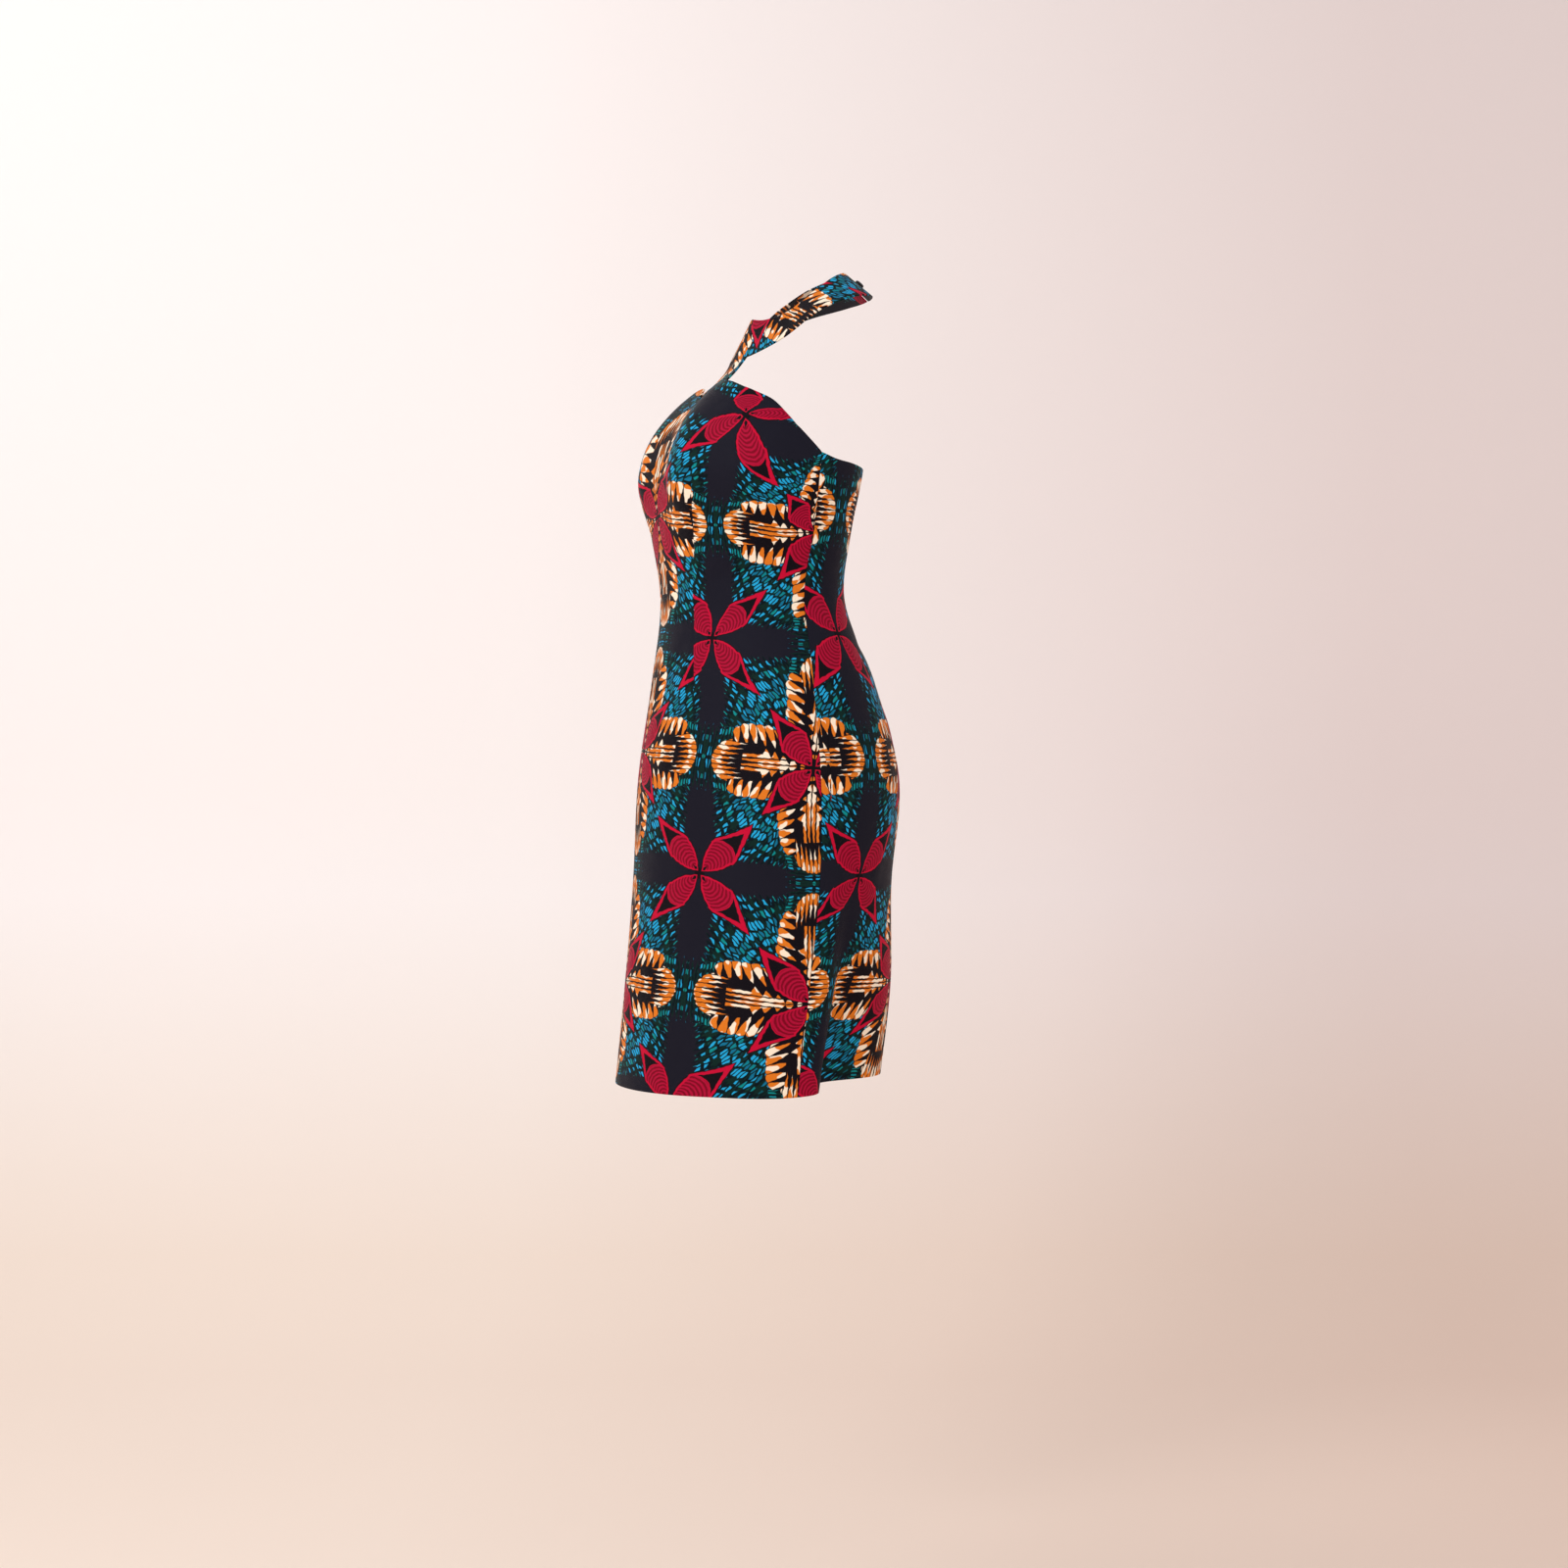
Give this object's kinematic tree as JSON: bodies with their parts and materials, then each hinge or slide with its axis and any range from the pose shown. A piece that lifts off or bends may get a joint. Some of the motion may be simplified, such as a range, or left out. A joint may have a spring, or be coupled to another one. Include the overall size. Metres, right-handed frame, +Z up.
{
  "type": "sleeveless printed cotton dress with halter collar",
  "caption": "Fitted knee-length sheath dress in wax-print cotton, with a sweetheart top, a halter collar and centre strap, and a back zip.",
  "frame": {"origin": "centre of the collar's neck edge, where the collar rests round the wearer's neck", "axes": "+Z up, the wearer faces -Y, +X is the wearer's left"},
  "size_m": [0.3377, 0.3175, 0.908],
  "materials": {
    "print_cotton": "crisp plain-weave wax-print cotton with a slight sheen, dark ground with red, blue, teal and orange flower print",
    "zip_tape": "woven tape, dark",
    "zip_metal": "dark enamel, satin",
    "button_plastic": "polished, near black",
    "loop_cord": "thin round cord, dark"
  },
  "bodies": {
    "dress": {"front": "print_cotton", "back_left": "print_cotton", "back_right": "print_cotton", "collar": "print_cotton", "zip_tape": "zip_tape", "zip_slider": "zip_metal", "button": "button_plastic", "button_loop": "loop_cord"},
    "pull": {"zip_pull": "zip_metal"}
  },
  "joints": [
    {"name": "pull_swing", "type": "hinge", "parent": "dress", "child": "pull", "pos_m": [-0.00002, 0.06182, -0.21009], "axis": [1, 0, 0], "range_deg": [-15, 150]}
  ]
}
